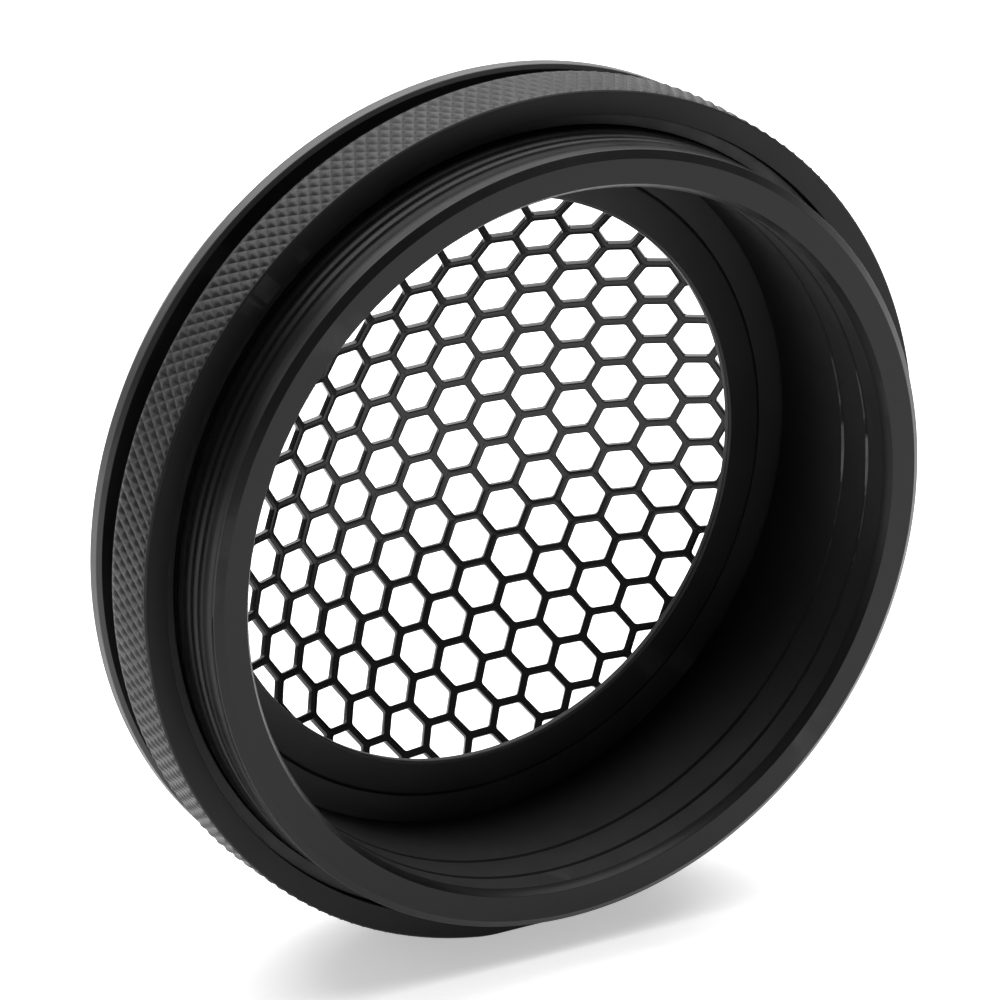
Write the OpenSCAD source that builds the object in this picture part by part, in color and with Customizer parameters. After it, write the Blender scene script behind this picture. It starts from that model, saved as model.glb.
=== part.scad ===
// Short round snoot with a domed honeycomb grid and a knurled lock ring.
//
// A threaded collar carries a stack of rings in its bore: spacer, liner, aperture baffle.
// A gasket, the domed honeycomb and a screwed rear bezel close the rear end.
// The lock ring and its slip washer run on the collar's outside thread.
//
// Frame: the axis is Y, the mouth faces -Y, the grid bulges towards +Y and +Z is up.
// The origin is on the axis where the collar's plain pilot ends and its thread begins.
// Inside the modules every station is a depth behind the mouth's front face.

/* [Collar] */
// Outside diameter of the pilot and of the thread crests
collar_d = 88; // [60:1:120]
// Inside diameter of the mouth
mouth_d = 79.4; // [50:0.1:100]
// Inside diameter of the counterbore that holds the ring stack
counterbore_d = 82; // [52:0.1:104]
// Full length of the collar
collar_len = 23; // [18:0.5:40]
// Depth of the plain pilot behind the front face
pilot_len = 3.6; // [2:0.1:8]
// Outer chamfer on the front face: radial size
nose_chamfer_r = 0.85; // [0.2:0.05:2]
// Outer chamfer on the front face: axial size
nose_chamfer_len = 0.65; // [0.2:0.05:2]
// Inner chamfer of the mouth: radial size
mouth_chamfer_r = 0.65; // [0.2:0.05:2]
// Inner chamfer of the mouth: axial size
mouth_chamfer_len = 0.95; // [0.2:0.05:2]

/* [Thread] */
// Pitch of the collar's outside thread
thread_pitch = 1.5; // [0.5:0.25:3]
// Depth of the thread below its crests
thread_depth = 0.6; // [0.3:0.05:1.2]
// Length of the plain groove behind the last crest, in turns
thread_tail = 0.4; // [0.1:0.1:0.6]
// Radial clearance of the rings that run on the thread
running_gap = 0.05; // [0.01:0.01:0.1]

/* [Ring stack] */
// Length of the front spacer
spacer_len = 4.7; // [2:0.05:8]
// Inside diameter of the front spacer
spacer_d = 79.2; // [50:0.1:100]
// Length of the bore liner
liner_len = 12.4; // [6:0.1:24]
// Inside diameter of the bore liner
liner_d = 79; // [50:0.1:100]
// Depth of the step where the mouth bore ends and the ring stack begins
stack_s = 4.1; // [2:0.05:8]
// Size of the small chamfers that make the seam lines
seam_chamfer = 0.22; // [0.1:0.01:0.4]
// Radial clearance of the stack in the counterbore
slip = 0.03; // [0.01:0.01:0.1]

/* [Aperture baffle] */
// Diameter of the light opening
aperture_d = 64.6; // [40:0.1:76]
// Diameter where the raised cone starts
cone_d = 72.4; // [44:0.1:78]
// Height of the raised lip in front of the baffle's face
lip_rise = 0.6; // [0.4:0.05:3]
// Size of the rounding on the lip's front edge
lip_round = 0.35; // [0.1:0.05:0.6]
// Height of the step between the baffle's face and the cone's foot
cone_step = 0.15; // [0.1:0.05:0.8]
// Radial size of the flare behind the opening
flare_r = 2.4; // [0.5:0.1:5]

/* [Honeycomb dome] */
// Radius of the dome's hollow side
dome_r = 57.1; // [50:0.1:90]
// Depth of the dome's hollow apex behind the front face
dome_apex_s = 39; // [30:0.01:60]
// Thickness of the sheet
sheet_t = 0.8; // [0.4:0.05:1.5]
// Distance between neighbouring cells, along the dome
cell_pitch = 5.252; // [3:0.01:10]
// Width of the web between two cells
web_w = 0.88; // [0.3:0.01:1.5]
// Turn of the cell rows about the axis
cell_turn = 3.02; // [-30:0.01:30]
// Offset of the nearest cell from the axis, across the rows and along them
cell_offset = [-1.16, -0.79]; // [-3:0.01:3]
// Largest distance of a cell's centre from the apex, along the dome
cell_reach = 40.65; // [20:0.05:40.65]
// Inside diameter of the flat flange
flange_inner_d = 78.6; // [60:0.1:100]
// Outside diameter of the flat flange
flange_outer_d = 88.8; // [70:0.1:110]

/* [Rear closure] */
// Thickness of the rear gasket
gasket_t = 0.5; // [0.3:0.05:2]
// Depth of the bezel's front face
bezel_s = 19.2; // [15:0.05:30]
// Outside diameter of the bezel
bezel_d = 95.4; // [80:0.1:120]
// Thickness of the bezel's rear lip
bezel_lip = 1.3; // [0.8:0.1:4]
// Inside diameter of the bezel's rear lip
bezel_open_d = 83.6; // [60:0.1:100]
// Front chamfer of the bezel: radial size
bezel_front_r = 0.5; // [0.2:0.05:2]
// Front chamfer of the bezel: axial size
bezel_front_len = 0.35; // [0.2:0.05:2]
// Length of the bezel's widest band
bezel_band_len = 1.35; // [0.5:0.05:4]
// Rear chamfer of the bezel: radial size
bezel_rear_r = 3.2; // [0.5:0.1:6]
// Chamfer on the bezel's inside edges
bezel_edge = 0.3; // [0.1:0.05:0.6]
// Radial room around the flange
flange_gap = 0.15; // [0.05:0.05:0.5]
// Depth of the bezel's seat in front of the flange
seat_room = 0.3; // [0.1:0.05:1]

/* [Lock ring] */
// Depth of the lock ring's front face
ring_s = 8; // [6:0.05:14]
// Length of the lock ring
ring_len = 7.3; // [4:0.05:14]
// Outside diameter over the knurl
ring_d = 96.7; // [80:0.1:120]
// Diameter of the flat front face
ring_face_d = 96.1; // [80:0.1:118]
// Diameter of the washer's recess in the front face
recess_d = 91; // [80:0.1:110]
// Depth of the washer's recess
recess_len = 1.9; // [0.5:0.1:4]
// Thickness of the slip washer
washer_t = 0.7; // [0.4:0.1:2]
// Front chamfer of the lock ring: axial size
ring_front_len = 0.2; // [0.2:0.05:1.5]
// Height of the small step from the front chamfer up to the knurl
knurl_step = 0.08; // [0.05:0.01:0.4]
// Length of that step
knurl_step_len = 0.15; // [0.1:0.05:1]
// Chamfer behind the knurl
ring_rear_edge = 0.25; // [0.1:0.05:1]
// Chamfer at the rear end of the ring's inside thread
ring_entry = 0.4; // [0.1:0.05:1]

/* [Hidden] */
// Name of the piece to show, or all of them
$fn = 180;
collar_r = collar_d / 2;
mouth_r = mouth_d / 2;
bore_r = counterbore_d / 2;
run_r = collar_r + running_gap;
liner_s = stack_s + spacer_len;
baffle_s = liner_s + liner_len;
gasket_s = collar_len;
flange_s = gasket_s + gasket_t;
lip_s = flange_s + sheet_t;
bezel_end_s = lip_s + bezel_lip;
dome_centre_s = dome_apex_s - dome_r;
overcut = 0.6;
anodised = [0.08, 0.08, 0.085];
flocked = [0.05, 0.05, 0.052];
grid_black = [0.1, 0.1, 0.105];
rubber_black = [0.04, 0.04, 0.04];

// Puts depth along +Y with the end of the pilot at the origin.
module on_axis() {
    translate([0, -pilot_len, 0]) rotate([-90, 0, 0]) children();
}

// A ring turned from an outline of [radius, depth] points.
module turned(outline) {
    on_axis() rotate_extrude() polygon(outline);
}

// Outline of the thread: one root and one crest for each turn, from the pilot to the rear end.
thread_turns = floor((collar_len - pilot_len) / thread_pitch - thread_tail);
thread_outline = [
    for (i = [0 : thread_turns - 1]) each [
        [collar_r - thread_depth, pilot_len + (i + 0.5) * thread_pitch],
        [collar_r, pilot_len + (i + 1) * thread_pitch]
    ]
];

module collar() {
    color(anodised) turned(concat(
        [
            [mouth_r, mouth_chamfer_len],
            [mouth_r + mouth_chamfer_r, 0],
            [collar_r - nose_chamfer_r, 0],
            [collar_r, nose_chamfer_len],
            [collar_r, pilot_len]
        ],
        thread_outline,
        [
            [collar_r - thread_depth, pilot_len + (thread_turns + thread_tail) * thread_pitch],
            [collar_r - thread_depth, collar_len],
            [bore_r, collar_len],
            [bore_r, stack_s],
            [mouth_r + seam_chamfer, stack_s],
            [mouth_r, stack_s - seam_chamfer]
        ]
    ));
}

// A plain sleeve of the ring stack with a small chamfer at both ends of its bore.
module sleeve(inner_r, s, length) {
    turned([
        [inner_r, s + seam_chamfer],
        [inner_r + seam_chamfer, s],
        [bore_r - slip, s],
        [bore_r - slip, s + length],
        [inner_r + seam_chamfer, s + length],
        [inner_r, s + length - seam_chamfer]
    ]);
}

module front_spacer() {
    color(anodised) sleeve(spacer_d / 2, stack_s, spacer_len);
}

module bore_liner() {
    color(flocked) sleeve(liner_d / 2, liner_s, liner_len);
}

// Flat face, raised cone and rounded lip in front; the opening flares behind.
module aperture_baffle() {
    open_r = aperture_d / 2;
    front_s = baffle_s - lip_rise;
    arc_in = lip_round * (1 - cos(45));
    color(flocked) turned([
        [open_r, front_s + lip_round],
        [open_r + arc_in, front_s + arc_in],
        [open_r + lip_round, front_s],
        [cone_d / 2, baffle_s - cone_step],
        [cone_d / 2 + cone_step, baffle_s],
        [bore_r - slip, baffle_s],
        [bore_r - slip, collar_len],
        [open_r + flare_r, collar_len],
        [open_r, baffle_s + lip_round]
    ]);
}

module rear_gasket() {
    color(rubber_black) turned([
        [flange_inner_d / 2, gasket_s],
        [collar_r - thread_depth, gasket_s],
        [collar_r - thread_depth, flange_s],
        [flange_inner_d / 2, flange_s]
    ]);
}

// One cell: its corners are stretched with the sheet, so they close up around the dome.
module cell(centre) {
    reach = norm(centre);
    tilt = reach / dome_r * 180 / PI;
    bearing = atan2(centre[1], centre[0]);
    squeeze = reach > 0 ? sin(tilt) / (tilt * PI / 180) : 1;
    corner_r = (cell_pitch - web_w) / sqrt(3);
    corners = [
        for (k = [0 : 5])
            let (a = 60 * k - cell_turn - bearing) corner_r * [cos(a), squeeze * sin(a)]
    ];
    rotate([0, tilt, bearing])
        translate([0, 0, dome_r - overcut])
            linear_extrude(sheet_t + 2 * overcut) polygon(corners);
}

// Centres of the cells on the unrolled dome.
cell_rows = ceil(cell_reach / cell_pitch) + 2;
cell_centres = [
    for (i = [-cell_rows : cell_rows], j = [-cell_rows : cell_rows])
        let (
            x = cell_offset[0] + i * cell_pitch * sqrt(3) / 2,
            y = cell_offset[1] + (j + (i % 2 == 0 ? 0 : 0.5)) * cell_pitch,
            c = [
                x * cos(cell_turn) + y * sin(cell_turn),
                y * cos(cell_turn) - x * sin(cell_turn)
            ]
        )
        if (norm(c) < cell_reach) c
];

// A drawn sheet: a spherical cap with a flat flange, cut by the cells.
module honeycomb_dome() {
    color(grid_black) on_axis() union() {
        translate([0, 0, dome_centre_s]) difference() {
            intersection() {
                sphere(dome_r + sheet_t);
                translate([0, 0, flange_s - dome_centre_s])
                    cylinder(h = dome_r, r = (flange_inner_d + sheet_t / 2) / 2);
            }
            sphere(dome_r);
            for (c = cell_centres) cell(c);
        }
        translate([0, 0, flange_s]) difference() {
            cylinder(h = sheet_t, r = flange_outer_d / 2);
            translate([0, 0, -overcut])
                cylinder(h = sheet_t + 2 * overcut, r = flange_inner_d / 2);
        }
    }
}

module rear_bezel() {
    seat_r = flange_outer_d / 2 + flange_gap;
    outer_r = bezel_d / 2;
    open_r = bezel_open_d / 2;
    color(anodised) turned([
        [run_r + bezel_edge, bezel_s],
        [outer_r - bezel_front_r, bezel_s],
        [outer_r, bezel_s + bezel_front_len],
        [outer_r, bezel_s + bezel_front_len + bezel_band_len],
        [outer_r - bezel_rear_r, bezel_end_s],
        [open_r + bezel_edge, bezel_end_s],
        [open_r, bezel_end_s - bezel_edge],
        [open_r, lip_s],
        [seat_r, lip_s],
        [seat_r, flange_s - seat_room],
        [run_r, flange_s - seat_room],
        [run_r, bezel_s + bezel_edge]
    ]);
}

module slip_washer() {
    outer_r = recess_d / 2 - running_gap;
    back_s = ring_s + recess_len;
    color(rubber_black) turned([
        [run_r, back_s - washer_t],
        [outer_r, back_s - washer_t],
        [outer_r, back_s],
        [run_r, back_s]
    ]);
}

module lock_ring() {
    outer_r = ring_d / 2;
    end_s = ring_s + ring_len;
    color(anodised) turned([
        [recess_d / 2, ring_s],
        [ring_face_d / 2, ring_s],
        [outer_r - knurl_step, ring_s + ring_front_len],
        [outer_r, ring_s + ring_front_len + knurl_step_len],
        [outer_r, end_s - ring_rear_edge],
        [outer_r - ring_rear_edge, end_s],
        [run_r + ring_entry, end_s],
        [run_r, end_s - ring_entry],
        [run_r, ring_s + recess_len],
        [recess_d / 2, ring_s + recess_len]
    ]);
}

collar();
front_spacer();
bore_liner();
aperture_baffle();
rear_gasket();
honeycomb_dome();
rear_bezel();
slip_washer();
lock_ring();
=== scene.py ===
"""Looks of the honeycomb snoot: turned rings, a knurled lock ring and a domed honeycomb.

The shapes are worked out in millimetres, and place() turns them into the frame's metres.
A station is a depth behind the mouth's front face. Floor, lights and camera are in metres.
"""

import math

import bmesh
import bpy
from mathutils import Matrix, Vector


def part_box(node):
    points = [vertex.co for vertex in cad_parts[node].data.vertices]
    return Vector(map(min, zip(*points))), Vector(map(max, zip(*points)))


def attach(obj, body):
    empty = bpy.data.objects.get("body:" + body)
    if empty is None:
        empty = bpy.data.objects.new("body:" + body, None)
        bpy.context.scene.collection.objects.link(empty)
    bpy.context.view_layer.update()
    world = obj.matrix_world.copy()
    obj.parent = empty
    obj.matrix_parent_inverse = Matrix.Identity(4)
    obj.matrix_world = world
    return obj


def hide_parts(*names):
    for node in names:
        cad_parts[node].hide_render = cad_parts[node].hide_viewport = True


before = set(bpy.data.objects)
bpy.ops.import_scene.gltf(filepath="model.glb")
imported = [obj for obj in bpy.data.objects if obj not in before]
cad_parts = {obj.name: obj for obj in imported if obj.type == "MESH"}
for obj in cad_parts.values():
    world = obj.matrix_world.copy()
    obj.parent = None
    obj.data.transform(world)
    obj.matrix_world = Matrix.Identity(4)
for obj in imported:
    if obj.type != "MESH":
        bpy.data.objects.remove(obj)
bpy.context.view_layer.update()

MM = 0.001
TAU = 2 * math.pi

# Meshes: steps round a ring, steps on a fillet, the short flat kept beside each fillet, the most
# of a side that a fillet may take, and the angles in degrees from which an edge is sharp.
RING_STEPS = 288
ARC_STEPS = 5
HOLD = 0.012
FILLET_SHARE = 0.45
SHARP_ANGLE = 32
GRID_SHARP_ANGLE = 40

# Radii of the turned parts.
COLLAR_R = 44.0
MOUTH_R = 39.7
SPACER_R = 39.6
LINER_R = 39.5
BORE_R = 41.0
STACK_R = BORE_R - 0.03
APERTURE_R = 32.3
CONE_R = 36.2
GASKET_R = COLLAR_R - 0.6
FLANGE_INNER_R = 39.3
FLANGE_OUTER_R = 44.4
SEAT_R = FLANGE_OUTER_R + 0.15
BEZEL_R = 47.7
BEZEL_OPEN_R = 41.8
RING_R = 48.35
RING_FACE_R = 48.05
RING_EDGE_R = RING_R - 0.12
RING_REAR_R = RING_R - 0.3
RECESS_R = 45.5
WASHER_R = RECESS_R - 0.05
RUN_R = 44.05

# Widths of the seams in the bore, and of the gap that keeps two flat faces apart.
SEAM = 0.22
FACE_GAP = 0.02

# Chamfers: width on the radius and length along the axis.
MOUTH_CHAMFER = (0.65, 0.95)
NOSE_CHAMFER = (0.85, 0.65)
BEZEL_CHAMFER = (0.5, 0.35)
EDGE_CHAMFER = 0.3

# Heights and widths of the baffle and the bezel. BEZEL_BAND runs from the bezel's front to the
# end of its plain band.
LIP_RISE = 0.55
CONE_FOOT_W = 0.3
CONE_FOOT_RISE = 0.17
LIP_BACK = 0.35
BACK_SLOPE_W = 2.4
BEZEL_BAND = 1.7
BEZEL_TAPER_W = 3.2
SEAT_RELIEF = 0.3

# Thread: its relief is faint over the pilot's front and reaches its full depth behind the pilot.
THREAD_START = 1.1
THREAD_LEAD = 0.05
THREAD_RUN_OUT = 0.5
THREAD_ROWS_PER_TURN = 14
THREAD_PITCH = 1.5
THREAD_DEPTH = 0.18
THREAD_CREST_DROP = 0.02
THREAD_PHASE = 0.55
THREAD_FAINT = 0.12
THREAD_FADE_START = 2.6
THREAD_FADE_LENGTH = 2.2
RIDGE_POWER = 0.8

# Knurl.
KNURL_TEETH = 193
KNURL_SAMPLES = 8
KNURL_ROWS = 22
KNURL_DEPTH = 0.17
KNURL_FLAT = 0.75
KNURL_RUN_OUT = 0.3
KNURL_FRONT_INSET = 0.22
KNURL_FRONT_STEP = 0.02
KNURL_REAR_INSET = 0.15
KNURL_REAR_STEP = 0.03
RING_LEAD_IN = 0.4

# Honeycomb: the radius of the dome's hollow side, its apex's station, the sheet, and the cells on
# the unrolled sheet. WEB is the metal between two cells, and cells further out than CELL_REACH
# stay closed. CORNER_SHARE is the part of a cell's side that belongs to each rounded corner.
DOME_R = 57.1
DOME_APEX = 39.0
SHEET_T = 0.8
CELL_PITCH = 5.252
WEB = 0.88
CELL_TURN = math.radians(3.02)
CELL_OFFSET = (-1.16, 0.79)
CELL_REACH = 40.65
CELL_CORNER = 0.42
CELL_EDGE = 0.14
CORNER_STEPS = 3
CORNER_SHARE = 0.12
RIM_MARGIN = 0.01

# The bore's coat is duller than the outside's. On the collar the change takes BORE_FADE,
# outwards from the mouth's radius.
BORE_ROUGHNESS = 0.55
BORE_SPECULAR = 0.12
BORE_FADE = 0.4

# Floor and even light from all round.
FLOOR_HALF = 3.0
FLOOR_GAP = 0.00005
FLOOR_TONE = (0.91, 0.93)
FLOOR_ROUGHNESS = 0.9
FLOOR_SPECULAR = 0.1
FLOOR_GLOW = 0.45
WORLD_TONE = 0.93
WORLD_STRENGTH = 0.22

# Lights: name, place, width and height, watts. All face LIGHT_AIM.
LIGHT_AIM = (0, 0.01, 0)
SOFTBOXES = [
    ("top_soft", (0.3, 0.55, 1.3), (2.6, 2.2), 68),
    ("back_soft", (0.62, 0.95, 0.36), (0.6, 0.35), 1.3),
    ("right_soft", (1.3, -0.15, 0.16), (0.5, 0.3), 0.7),
    ("left_back_soft", (-0.46, 1.2, 0.40), (0.7, 0.45), 2.4),
]

# Camera: angles in degrees and distances in metres, from the mouth's centre. Lens in millimetres.
CAMERA_AZIMUTH = -30.92
CAMERA_ELEVATION = 22.24
CAMERA_DISTANCE = 1.098
CAMERA_ASIDE = 0.00809
CAMERA_RAISE = 0.00471
CAMERA_LENS = 369.95
CAMERA_SENSOR = 36.0
CAMERA_CLIP = (0.05, 20)

FRONT_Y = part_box("collar")[0].y


def station(node, end):
    """Depth of a CAD node's front (end 0) or rear (end 1) behind the collar's front face."""
    return (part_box(node)[end].y - FRONT_Y) / MM


def place(x, z, s):
    """The frame's point for x, z in millimetres at station s."""
    return (x * MM, FRONT_Y + s * MM, z * MM)


PILOT_END = -FRONT_Y / MM
COLLAR_END = station("collar", 1)
STACK_S = station("front_spacer", 0)
LINER_S = station("bore_liner", 0)
BAFFLE_S = station("bore_liner", 1)
FLANGE_S = station("rear_gasket", 1)
LIP_S = FLANGE_S + SHEET_T
BEZEL_S = station("rear_bezel", 0)
BEZEL_END = station("rear_bezel", 1)
RING_S = station("lock_ring", 0)
RING_END = station("lock_ring", 1)
WASHER_S = station("slip_washer", 0)
WASHER_END = station("slip_washer", 1)
KNURL_START = RING_S + KNURL_FRONT_INSET
KNURL_END = RING_END - KNURL_REAR_INSET
KNURL_PERIOD = (KNURL_END - KNURL_START) * KNURL_SAMPLES / KNURL_ROWS
DOME_RIM = DOME_R * math.acos(1 - (DOME_APEX - FLANGE_S) / DOME_R)


# ---------------------------------------------------------------- meshes

def rounded(outline):
    """Outline points (r, s) from corners (r, s, fillet), with a short flat beside each fillet."""
    points = []
    count = len(outline)
    for i, (r, s, fillet) in enumerate(outline):
        if not fillet:
            points.append((r, s))
            continue
        corner = Vector((r, s))
        before = Vector(outline[i - 1][:2]) - corner
        after = Vector(outline[(i + 1) % count][:2]) - corner
        half = before.angle(after) / 2
        longest = min(before.length, after.length) * FILLET_SHARE
        reach = min(fillet / math.tan(half), longest)
        radius = reach * math.tan(half)
        start, end = before.normalized() * reach, after.normalized() * reach
        middle = (before.normalized() + after.normalized()).normalized() * (radius / math.sin(half))
        points.append(tuple(corner + start + before.normalized() * HOLD))
        for k in range(ARC_STEPS + 1):
            arm = (start - middle).slerp(end - middle, k / ARC_STEPS)
            points.append(tuple(corner + middle + arm.normalized() * radius))
        points.append(tuple(corner + end + after.normalized() * HOLD))
    return points


def turned(outline, steps=RING_STEPS, folds=None):
    """Points and faces of a closed ring. A radius may be a function of the angle and station.

    folds(row, step) says how a quad is halved: 0 not at all, 1 and 2 along either diagonal.
    """
    rows = len(outline)
    verts, faces = [], []
    for radius, s in outline:
        for j in range(steps):
            angle = TAU * j / steps
            r = radius(angle, s) if callable(radius) else radius
            verts.append(place(r * math.cos(angle), r * math.sin(angle), s))
    for i in range(rows):
        for j in range(steps):
            a, b = i * steps + j, i * steps + (j + 1) % steps
            c, d = (i + 1) % rows * steps + (j + 1) % steps, (i + 1) % rows * steps + j
            fold = folds(i, j) if folds else 0
            if fold == 1:
                faces += [(a, b, c), (a, c, d)]
            elif fold == 2:
                faces += [(a, b, d), (b, c, d)]
            else:
                faces.append((a, b, c, d))
    return verts, faces


def make_mesh(name, verts, faces, sharp_angle=SHARP_ANGLE):
    mesh = bpy.data.meshes.new(name)
    mesh.from_pydata(verts, [], faces)
    mesh.validate()
    skin = bmesh.new()
    skin.from_mesh(mesh)
    bmesh.ops.recalc_face_normals(skin, faces=skin.faces)
    skin.to_mesh(mesh)
    skin.free()
    mesh.shade_smooth()
    mesh.set_sharp_from_angle(angle=math.radians(sharp_angle))
    mesh.update()
    piece = bpy.data.objects.new(name, mesh)
    bpy.context.scene.collection.objects.link(piece)
    return piece


def lathe(name, corners):
    """A ring turned from corners (r, s, fillet)."""
    return make_mesh(name, *turned(rounded(corners)))


# ---------------------------------------------------------------- turned pieces

def thread_radius(angle, s):
    """Rounded helical ridges with the thread's pitch."""
    turn = (s - PILOT_END) / THREAD_PITCH - angle / TAU
    ridge = 0.5 + 0.5 * math.cos(TAU * (turn - THREAD_PHASE))
    fade = min(1.0, max(THREAD_FAINT, (s - THREAD_FADE_START) / THREAD_FADE_LENGTH))
    return COLLAR_R - THREAD_CREST_DROP - THREAD_DEPTH * fade * (1 - ridge ** RIDGE_POWER)


def collar():
    """The threaded tube: chamfered mouth and nose, thread outside, counterbore at the rear."""
    mouth_w, mouth_length = MOUTH_CHAMFER
    nose_w, nose_length = NOSE_CHAMFER
    front = rounded([
        (MOUTH_R, STACK_S - SEAM, 0),
        (MOUTH_R, mouth_length, 0.12), (MOUTH_R + mouth_w, 0, 0.07),
        (COLLAR_R - nose_w, 0, 0.1), (COLLAR_R, nose_length, 0.14),
        (COLLAR_R, THREAD_START - THREAD_LEAD, 0),
    ])
    length = COLLAR_END - THREAD_RUN_OUT - THREAD_START
    rows = round(length / THREAD_PITCH * THREAD_ROWS_PER_TURN)
    thread = [(thread_radius, THREAD_START + length * k / rows) for k in range(rows + 1)]
    rear = rounded([
        (COLLAR_R - THREAD_DEPTH, COLLAR_END, 0.1), (BORE_R, COLLAR_END, 0.1),
        (BORE_R, STACK_S, 0), (MOUTH_R + SEAM, STACK_S, 0),
    ])
    return make_mesh("collar_tube", *turned(front + thread + rear))


def sleeve(name, inner_r, start, end):
    """A plain sleeve in the counterbore, chamfered inside at both ends to show a seam."""
    return lathe(name, [
        (inner_r, start + SEAM, 0.06), (inner_r + SEAM, start, 0.03), (STACK_R, start, 0.05),
        (STACK_R, end, 0.05), (inner_r + SEAM, end, 0.03), (inner_r, end - SEAM, 0.06),
    ])


def front_spacer():
    return sleeve("front_spacer_sleeve", SPACER_R, STACK_S, LINER_S)


def bore_liner():
    return sleeve("bore_liner_sleeve", LINER_R, LINER_S, BAFFLE_S)


def baffle():
    """A flat floor, then a cone that rises to the rounded lip of the light opening."""
    return lathe("aperture_ring", [
        (APERTURE_R, BAFFLE_S - LIP_RISE, 0.3),
        (CONE_R, BAFFLE_S - CONE_FOOT_RISE, 0.5), (CONE_R + CONE_FOOT_W, BAFFLE_S, 0.3),
        (STACK_R, BAFFLE_S, 0.05), (STACK_R, COLLAR_END, 0.1),
        (APERTURE_R + BACK_SLOPE_W, COLLAR_END, 0.1), (APERTURE_R, BAFFLE_S + LIP_BACK, 0.1),
    ])


def gasket():
    """A flat ring between the collar's end and the grid's flange."""
    return lathe("rear_gasket_ring", [
        (FLANGE_INNER_R, COLLAR_END, 0.12), (GASKET_R, COLLAR_END, 0.12),
        (GASKET_R, FLANGE_S, 0.12), (FLANGE_INNER_R, FLANGE_S, 0.12),
    ])


def bezel():
    """A smooth ring: front chamfer, plain band, rear taper, and inside a lip over the flange."""
    front_w, front_length = BEZEL_CHAMFER
    return lathe("rear_bezel_ring", [
        (RUN_R + EDGE_CHAMFER, BEZEL_S, 0.05),
        (BEZEL_R - front_w, BEZEL_S, 0.12), (BEZEL_R, BEZEL_S + front_length, 0.2),
        (BEZEL_R, BEZEL_S + BEZEL_BAND, 0.6), (BEZEL_R - BEZEL_TAPER_W, BEZEL_END, 0.4),
        (BEZEL_OPEN_R + EDGE_CHAMFER, BEZEL_END, 0.1), (BEZEL_OPEN_R, BEZEL_END - EDGE_CHAMFER, 0.1),
        (BEZEL_OPEN_R, LIP_S, 0), (SEAT_R, LIP_S, 0),
        (SEAT_R, FLANGE_S - SEAT_RELIEF, 0), (RUN_R, FLANGE_S - SEAT_RELIEF, 0),
        (RUN_R, BEZEL_S + EDGE_CHAMFER, 0.05),
    ])


def washer():
    """A flat ring in the lock ring's front recess."""
    back = WASHER_END - FACE_GAP
    return lathe("slip_washer_ring", [
        (RUN_R, WASHER_S, 0.1), (WASHER_R, WASHER_S, 0.1),
        (WASHER_R, back, 0.1), (RUN_R, back, 0.1),
    ])


def wave(x):
    """Triangle wave: 0 at whole numbers and 1 halfway between."""
    return 1 - abs(2 * (x - math.floor(x)) - 1)


def knurl_radius(angle, s):
    """Truncated pyramids between two families of slanting grooves, run out at both edges."""
    around = angle / TAU * KNURL_TEETH
    along = (s - KNURL_START) / KNURL_PERIOD
    height = min(wave(around + along), wave(around - along), KNURL_FLAT) / KNURL_FLAT
    run_out = min(s - KNURL_START, KNURL_END - s) / KNURL_RUN_OUT
    return RING_R - KNURL_DEPTH * (1 - min(height, max(run_out, 0)))


def lock_ring():
    """The knurled ring: a plain running bore, a recess for the washer and a knurled band."""
    front_step = KNURL_START - KNURL_FRONT_STEP
    front = rounded([
        (RUN_R, RING_END - RING_LEAD_IN, 0), (RUN_R, WASHER_END, 0), (RECESS_R, WASHER_END, 0),
        (RECESS_R, RING_S, 0.05), (RING_FACE_R, RING_S, 0.08), (RING_EDGE_R, front_step, 0.02),
        (RING_R - KNURL_DEPTH, front_step, 0),
    ])
    band = [
        (knurl_radius, KNURL_START + (KNURL_END - KNURL_START) * k / KNURL_ROWS)
        for k in range(KNURL_ROWS + 1)
    ]
    rear = rounded([
        (RING_EDGE_R, KNURL_END + KNURL_REAR_STEP, 0.02),
        (RING_REAR_R, RING_END, 0.06), (RUN_R + RING_LEAD_IN, RING_END, 0),
    ])

    def folds(row, step):
        """Quads on one family's grooves and crests are halved along it, the rest along the other."""
        k = row - len(front)
        if not 0 <= k < KNURL_ROWS:
            return 0
        return 1 if (step - k) % (KNURL_SAMPLES // 2) == 0 else 2

    ring = turned(front + band + rear, KNURL_TEETH * KNURL_SAMPLES, folds)
    return make_mesh("knurled_lock_ring", *ring)


# ---------------------------------------------------------------- honeycomb

def on_dome(x, z, depth):
    """The unrolled sheet's point x, z wrapped on the dome, at a depth behind its hollow side."""
    reach = math.hypot(x, z)
    tilt = reach / DOME_R
    scale = (DOME_R + depth) * math.sin(tilt) / reach if reach else 0.0
    return place(x * scale, z * scale, DOME_APEX - DOME_R + (DOME_R + depth) * math.cos(tilt))


def lattice():
    """Centres of the cells on the unrolled sheet, well past its rim."""
    span = math.ceil(DOME_RIM / CELL_PITCH) + 2
    for i in range(-span, span + 1):
        for j in range(-span, span + 1):
            x = CELL_OFFSET[0] + i * CELL_PITCH * math.sqrt(3) / 2
            z = CELL_OFFSET[1] + (j + 0.5 * (i % 2)) * CELL_PITCH
            yield (
                x * math.cos(CELL_TURN) - z * math.sin(CELL_TURN),
                x * math.sin(CELL_TURN) + z * math.cos(CELL_TURN),
            )


def cell_outline(centre, circumradius, fillet):
    """A hexagon with rounded corners, CORNER_STEPS + 1 points on each."""
    points = []
    hub = circumradius - fillet / math.sin(math.radians(60))
    for k in range(6):
        a = k * TAU / 6 + CELL_TURN
        for step in range(CORNER_STEPS + 1):
            turn = a + (step / CORNER_STEPS - 0.5) * TAU / 6
            points.append((
                centre[0] + hub * math.cos(a) + fillet * math.cos(turn),
                centre[1] + hub * math.sin(a) + fillet * math.sin(turn),
            ))
    return points


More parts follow.
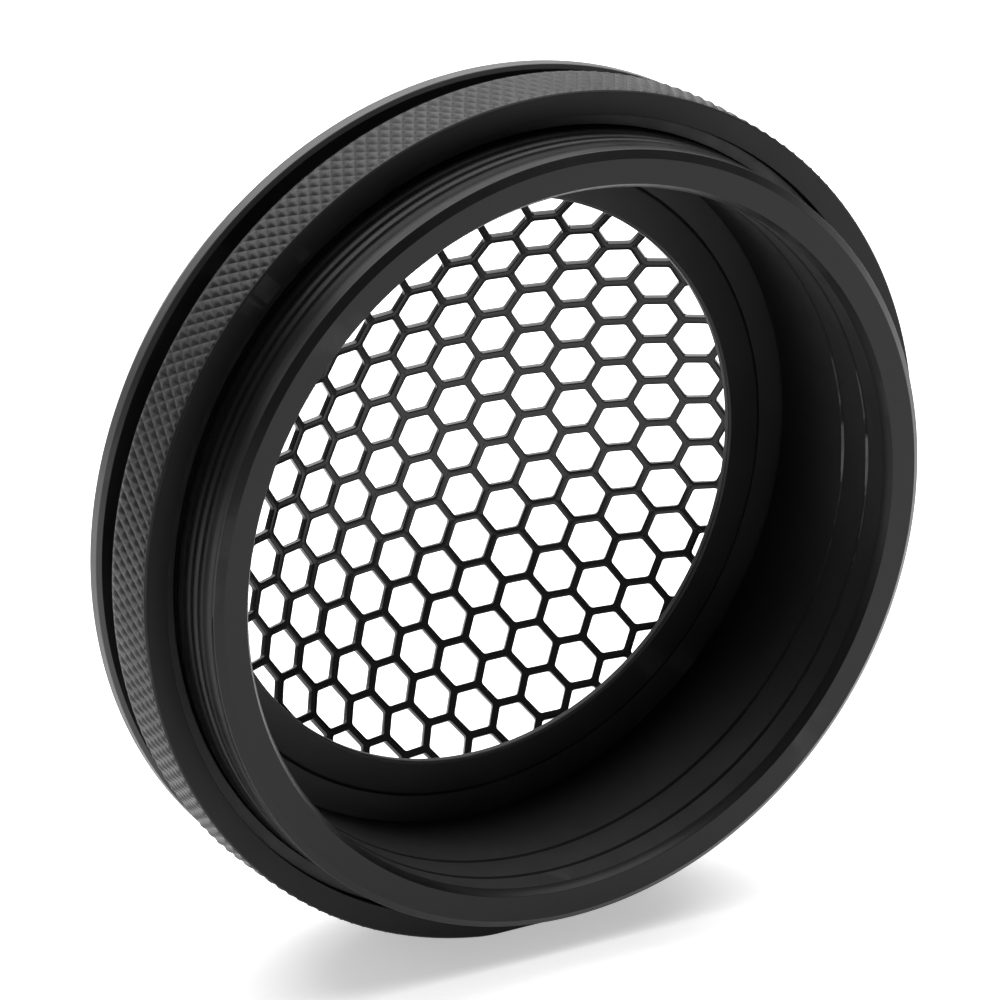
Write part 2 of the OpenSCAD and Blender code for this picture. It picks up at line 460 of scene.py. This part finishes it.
def cell_border(centre):
    """The cell's boundary with its neighbours, with as many points as a rounded hexagon has."""
    corner_r = CELL_PITCH / math.sqrt(3)
    points = []
    for k in range(6):
        a = k * TAU / 6 + CELL_TURN
        corner = (centre[0] + corner_r * math.cos(a), centre[1] + corner_r * math.sin(a))
        for step in range(CORNER_STEPS + 1):
            lean = (step / CORNER_STEPS - 0.5) * 2
            b = a + math.copysign(TAU / 6, lean)
            other = (centre[0] + corner_r * math.cos(b), centre[1] + corner_r * math.sin(b))
            share = abs(lean) * CORNER_SHARE
            points.append(tuple(p + (q - p) * share for p, q in zip(corner, other)))
    return points


class Sheet:
    """The unrolled perforated sheet: flat points and faces, shared where cells meet."""

    def __init__(self):
        self.points, self.faces, self.found = [], [], {}

    def point(self, x, z):
        """The number of a point, drawn in to the rim if it lies past it."""
        reach = math.hypot(x, z)
        if reach > DOME_RIM:
            x, z = x * DOME_RIM / reach, z * DOME_RIM / reach
        key = (round(x, 3), round(z, 3))
        if key not in self.found:
            self.found[key] = len(self.points)
            self.points.append((x, z))
        return self.found[key]

    def face(self, *corners):
        """A face without repeated corners, unless it has shrunk to nothing at the rim."""
        loop = [c for i, c in enumerate(corners) if c != corners[i - 1]]
        if len(set(loop)) == len(loop) >= 3:
            self.faces.append(loop)

    def cell(self, centre):
        """One cell's share of the web, or a plain hexagon outside the perforated zone."""
        side = [self.point(*p) for p in cell_border(centre)]
        count = len(side)
        if math.hypot(*centre) < CELL_REACH:
            hole_r = (CELL_PITCH - WEB) / math.sqrt(3) + CELL_EDGE * 2 / math.sqrt(3)
            hole = [self.point(*p) for p in cell_outline(centre, hole_r, CELL_CORNER + CELL_EDGE)]
            for k in range(count):
                self.face(side[k], side[(k + 1) % count], hole[(k + 1) % count], hole[k])
        else:
            hub = self.point(*centre)
            for k in range(count):
                self.face(side[k], side[(k + 1) % count], hub)

    def open_edges(self):
        """Edges round the holes and the rim: those with a face on one side only."""
        directed = {(f[i - 1], f[i]) for f in self.faces for i in range(len(f))}
        return [e for e in directed if (e[1], e[0]) not in directed]

    def outward(self, edges):
        """For each point on an open edge, the direction away from the sheet's material."""
        total = {}
        for a, b in edges:
            (ax, az), (bx, bz) = self.points[a], self.points[b]
            normal = Vector((bz - az, ax - bx)) / math.hypot(bx - ax, bz - az)
            for v in (a, b):
                total[v] = total.get(v, Vector((0, 0))) + normal
        return total


def wall_layers():
    """Steps of a cell's wall through the sheet, rounded at both faces: (outward, depth)."""
    edge = [
        (CELL_EDGE * math.sin(math.radians(q)), CELL_EDGE * (1 - math.cos(math.radians(q))))
        for q in (30, 60, 90)
    ]
    return edge + [(out, SHEET_T - depth) for out, depth in reversed(edge)]


def dome():
    """The sheet wrapped on the dome: two skins joined by rounded cell walls and a plain rim."""
    sheet = Sheet()
    for centre in lattice():
        if math.hypot(*centre) < DOME_RIM + CELL_PITCH:
            sheet.cell(centre)
    count = len(sheet.points)
    verts = [on_dome(x, z, depth) for depth in (0, SHEET_T) for x, z in sheet.points]
    faces = [tuple(f) for f in sheet.faces]
    faces += [tuple(count + v for v in reversed(f)) for f in sheet.faces]

    edges = sheet.open_edges()
    layers = wall_layers()
    walls = {}
    for v, total in sheet.outward(edges).items():
        x, z = sheet.points[v]
        on_hole = math.hypot(x, z) < DOME_RIM - RIM_MARGIN
        way = total.normalized() if on_hole else Vector((0, 0))
        walls[v] = [v]
        for out, depth in layers:
            walls[v].append(len(verts))
            verts.append(on_dome(x + way.x * out, z + way.y * out, depth))
        walls[v].append(count + v)
    for a, b in edges:
        for k in range(len(layers) + 1):
            faces.append((walls[b][k], walls[a][k], walls[a][k + 1], walls[b][k + 1]))
    return verts, faces


def honeycomb():
    """The perforated dome and the flat flange that the bezel clamps."""
    verts, faces = dome()
    flange_verts, flange_faces = turned(rounded([
        (FLANGE_INNER_R, FLANGE_S, 0), (FLANGE_OUTER_R, FLANGE_S, 0.12),
        (FLANGE_OUTER_R, LIP_S, 0.12), (FLANGE_INNER_R, LIP_S, 0),
    ]))
    faces += [tuple(len(verts) + v for v in f) for f in flange_faces]
    return make_mesh("honeycomb_grid", verts + flange_verts, faces, GRID_SHARP_ANGLE)


# ---------------------------------------------------------------- materials

def shade(base, share):
    """An opaque colour: the base made darker or lighter."""
    return tuple(c * share for c in base) + (1,)


class Nodes:
    """Short calls for a material's node tree."""

    def __init__(self, name):
        self.material = bpy.data.materials.new(name)
        self.material.use_nodes = True
        self.tree = self.material.node_tree
        self.shader = self.tree.nodes["Principled BSDF"]

    def add(self, kind, inputs=None, **settings):
        node = self.tree.nodes.new(kind)
        for key, value in settings.items():
            setattr(node, key, value)
        for key, value in (inputs or {}).items():
            if isinstance(value, bpy.types.NodeSocket):
                self.tree.links.new(value, node.inputs[key])
            else:
                node.inputs[key].default_value = value
        return node

    def math(self, operation, a, b=0.0):
        return self.add("ShaderNodeMath", {0: a, 1: b}, operation=operation).outputs[0]

    def mix(self, factor, low, high):
        """A colour between low and high. A colour mix has its colours in sockets 6 and 7."""
        inputs = {"Factor": factor, 6: low, 7: high}
        return self.add("ShaderNodeMix", inputs, data_type="RGBA").outputs[2]

    def noise(self, vector, scale, detail=2.0, roughness=0.5):
        node = self.add("ShaderNodeTexNoise", {
            "Vector": vector, "Scale": scale, "Detail": detail, "Roughness": roughness})
        return node.outputs["Fac"]

    def spread(self, value, low, high, start=0.3, end=0.7):
        """A value between start and end, spread over low to high."""
        node = self.add("ShaderNodeMapRange", {
            "Value": value, "From Min": start, "From Max": end, "To Min": low, "To Max": high})
        return node.outputs["Result"]

    def bump(self, height, strength, distance, **normal):
        node = self.add("ShaderNodeBump", {
            "Height": height, "Strength": strength, "Distance": distance, **normal})
        return node.outputs["Normal"]

    def link(self, value, socket):
        self.tree.links.new(value, self.shader.inputs[socket])

    def object_space(self):
        return self.add("ShaderNodeTexCoord").outputs["Object"]

    def turning(self, point):
        """Coordinates that are the same all the way round the axis: radius and depth."""
        parts = self.add("ShaderNodeSeparateXYZ", {0: point}).outputs
        squares = self.math("ADD", self.math("MULTIPLY", parts[0], parts[0]),
                            self.math("MULTIPLY", parts[2], parts[2]))
        radius = self.math("SQRT", squares)
        return self.add("ShaderNodeCombineXYZ", {0: radius, 1: parts[1]}).outputs[0]


def black_finish(name, base, roughness, blast=0.12, grooves=0.10, edge_wear_and_highlight=0.5, specular=0.36,
                 wear_and_highlight_tone=0.03, matte_bore=False):
    """Black coat on metal: fine blast grain, turning lines, cloudy sheen and paler edges.

    blast, grooves and wear are strengths, and bare is the tone of the paler edges: metal rubbed
    through on most coats, and a painted highlight along each seam on the bore's coat.
    With matte_bore the inside of a tube has the bore's dull coat.
    """
    n = Nodes(name)
    point = n.object_space()
    clouds = n.noise(point, scale=55, detail=3, roughness=0.6)
    smears = n.noise(point, scale=210, detail=4, roughness=0.65)
    grain = n.noise(point, scale=9000, detail=2, roughness=0.6)
    lines = n.noise(n.turning(point), scale=5200, detail=3, roughness=0.7)

    pointiness = n.add("ShaderNodeNewGeometry").outputs["Pointiness"]
    # Paler edges from pointiness: rubbed metal, and on the bore's coat a painted highlight along
    # each seam.
    edge = n.spread(pointiness, 0.0, edge_wear_and_highlight, start=0.53, end=0.62)
    wear_and_highlight_mask = n.math("MULTIPLY", edge, n.spread(smears, 0.2, 1.0, start=0.35, end=0.65))
    coat = n.mix(n.spread(clouds, 0.0, 1.0), shade(base, 0.8), shade(base, 1.25))
    n.link(n.mix(wear_and_highlight_mask, coat, (wear_and_highlight_tone, wear_and_highlight_tone, wear_and_highlight_tone, 1)), "Base Color")

    cloudy = n.spread(clouds, -0.035, 0.035)
    smeared = n.spread(smears, roughness - 0.03, roughness + 0.03)
    sheen = n.math("ADD", cloudy, smeared)
    n.shader.inputs["Specular IOR Level"].default_value = specular
    if matte_bore:
        radius = n.add("ShaderNodeSeparateXYZ", {0: n.turning(point)}).outputs[0]
        inside = n.spread(radius, 1.0, 0.0, start=MOUTH_R * MM, end=(MOUTH_R + BORE_FADE) * MM)
        sheen = n.math("ADD", sheen, n.math("MULTIPLY", inside, BORE_ROUGHNESS - roughness))
        n.link(n.spread(inside, specular, BORE_SPECULAR, 0.0, 1.0), "Specular IOR Level")
    n.link(sheen, "Roughness")

    fine = n.bump(grain, blast, distance=0.00004)
    n.link(n.bump(lines, grooves, distance=0.00005, Normal=fine), "Normal")
    return n.material


def rubber(name, base, roughness):
    """Black rubber or plastic: patchy tone and a fine moulded skin."""
    n = Nodes(name)
    point = n.object_space()
    patches = n.noise(point, scale=320, detail=3, roughness=0.6)
    skin = n.noise(point, scale=5200, detail=3, roughness=0.6)
    n.link(n.mix(n.spread(patches, 0.0, 1.0), shade(base, 0.75), shade(base, 1.3)), "Base Color")
    n.link(n.spread(patches, roughness - 0.06, roughness + 0.06), "Roughness")
    n.link(n.bump(skin, 0.3, distance=0.00006), "Normal")
    return n.material


anodised = black_finish(
    "black_anodised", (0.0034, 0.0034, 0.0035), 0.34, specular=0.22, matte_bore=True)
# The bore's coat has a pale edge tone that paints a highlight along each seam of the sleeves.
inner_anodised = black_finish(
    "black_anodised_bore", (0.0028, 0.0028, 0.0029), BORE_ROUGHNESS, grooves=0.14, edge_wear_and_highlight=1.0,
    specular=BORE_SPECULAR, wear_and_highlight_tone=0.12)
matte_coat = black_finish(
    "matte_black_coat", (0.0030, 0.0030, 0.0031), 0.48, blast=0.3, grooves=0.06, edge_wear_and_highlight=0.3)
bezel_anodised = black_finish(
    "black_anodised_bezel", (0.0040, 0.0040, 0.0041), 0.42, specular=0.55)
knurl_finish = black_finish(
    "black_anodised_knurl", (0.0042, 0.0042, 0.0043), 0.44, grooves=0.0, edge_wear_and_highlight=0.6, specular=0.2)
grid_coat = black_finish(
    "grid_gloss_coat", (0.0040, 0.0038, 0.0036), 0.26, blast=0.10, grooves=0.0, edge_wear_and_highlight=0.3)
gasket_rubber = rubber("gasket_rubber", (0.0045, 0.0045, 0.0045), 0.62)
washer_plastic = rubber("washer_plastic", (0.0035, 0.0035, 0.0035), 0.5)


# ---------------------------------------------------------------- assembly

# Each piece: its function, CAD node, body, material slot and material.
PIECES = [
    (collar, "collar", "barrel", "anodised_body", anodised),
    (front_spacer, "front_spacer", "barrel", "anodised_inner", inner_anodised),
    (bore_liner, "bore_liner", "barrel", "flocked_liner", inner_anodised),
    (baffle, "aperture_baffle", "barrel", "baffle_black", matte_coat),
    (gasket, "rear_gasket", "barrel", "gasket_rubber", gasket_rubber),
    (honeycomb, "honeycomb_dome", "grid", "grid_black", grid_coat),
    (bezel, "rear_bezel", "bezel", "anodised_bezel", bezel_anodised),
    (washer, "slip_washer", "washer", "washer_plastic", washer_plastic),
    (lock_ring, "lock_ring", "knurled_ring", "anodised_ring", knurl_finish),
]
for build, node, body, slot, material in PIECES:
    piece = build()
    piece.data.materials.append(material)
    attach(piece, body)
    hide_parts(node)


# ---------------------------------------------------------------- stage, lights and camera

def floor():
    """A plain pale sheet, level with the bezel's lowest point. The lock ring reaches below it."""
    h = FLOOR_HALF
    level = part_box("rear_bezel")[0].z - FLOOR_GAP
    corners = [(-h, -h, level), (h, -h, level), (h, h, level), (-h, h, level)]
    piece = make_mesh("floor", corners, [(0, 1, 2, 3)])
    n = Nodes("floor_paper")
    tone = n.spread(n.noise(n.object_space(), scale=3), *FLOOR_TONE)
    paper = n.add("ShaderNodeCombineColor", {0: tone, 1: tone, 2: tone})
    n.link(paper.outputs[0], "Base Color")
    n.shader.inputs["Roughness"].default_value = FLOOR_ROUGHNESS
    n.shader.inputs["Emission Color"].default_value = (1, 1, 1, 1)
    n.shader.inputs["Emission Strength"].default_value = FLOOR_GLOW
    n.shader.inputs["Specular IOR Level"].default_value = FLOOR_SPECULAR
    piece.data.materials.append(n.material)


def softbox(name, where, size, power):
    """An area light turned to face the object."""
    data = bpy.data.lights.new(name, "AREA")
    data.shape = "RECTANGLE"
    data.size, data.size_y = size
    data.energy = power
    light = bpy.data.objects.new(name, data)
    light.location = where
    light.rotation_mode = "QUATERNION"
    light.rotation_quaternion = (Vector(LIGHT_AIM) - Vector(where)).to_track_quat("-Z", "Y")
    bpy.context.scene.collection.objects.link(light)


def surroundings():
    """A pale even light from all round."""
    world = bpy.data.worlds.new("studio")
    world.use_nodes = True
    background = world.node_tree.nodes["Background"]
    background.inputs["Color"].default_value = (WORLD_TONE, WORLD_TONE, WORLD_TONE, 1)
    background.inputs["Strength"].default_value = WORLD_STRENGTH
    bpy.context.scene.world = world


def camera():
    """A long lens, left of the axis and above it, aimed a little beside the mouth's centre."""
    data = bpy.data.cameras.new("camera")
    data.sensor_width = CAMERA_SENSOR
    data.lens = CAMERA_LENS
    data.clip_start, data.clip_end = CAMERA_CLIP
    eye = bpy.data.objects.new("camera", data)
    azimuth, elevation = math.radians(CAMERA_AZIMUTH), math.radians(CAMERA_ELEVATION)
    back = Vector((
        math.sin(azimuth) * math.cos(elevation),
        -math.cos(azimuth) * math.cos(elevation),
        math.sin(elevation),
    ))
    right = Vector((0, 0, 1)).cross(back).normalized()
    up = back.cross(right)
    mouth = Vector((0, FRONT_Y, 0))
    eye.matrix_world = Matrix((right, up, back)).transposed().to_4x4()
    eye.location = mouth + CAMERA_DISTANCE * back - CAMERA_ASIDE * right + CAMERA_RAISE * up
    bpy.context.scene.collection.objects.link(eye)
    bpy.context.scene.camera = eye


floor()
for lamp in SOFTBOXES:
    softbox(*lamp)
surroundings()
camera()
bpy.context.scene.view_settings.view_transform = "Standard"
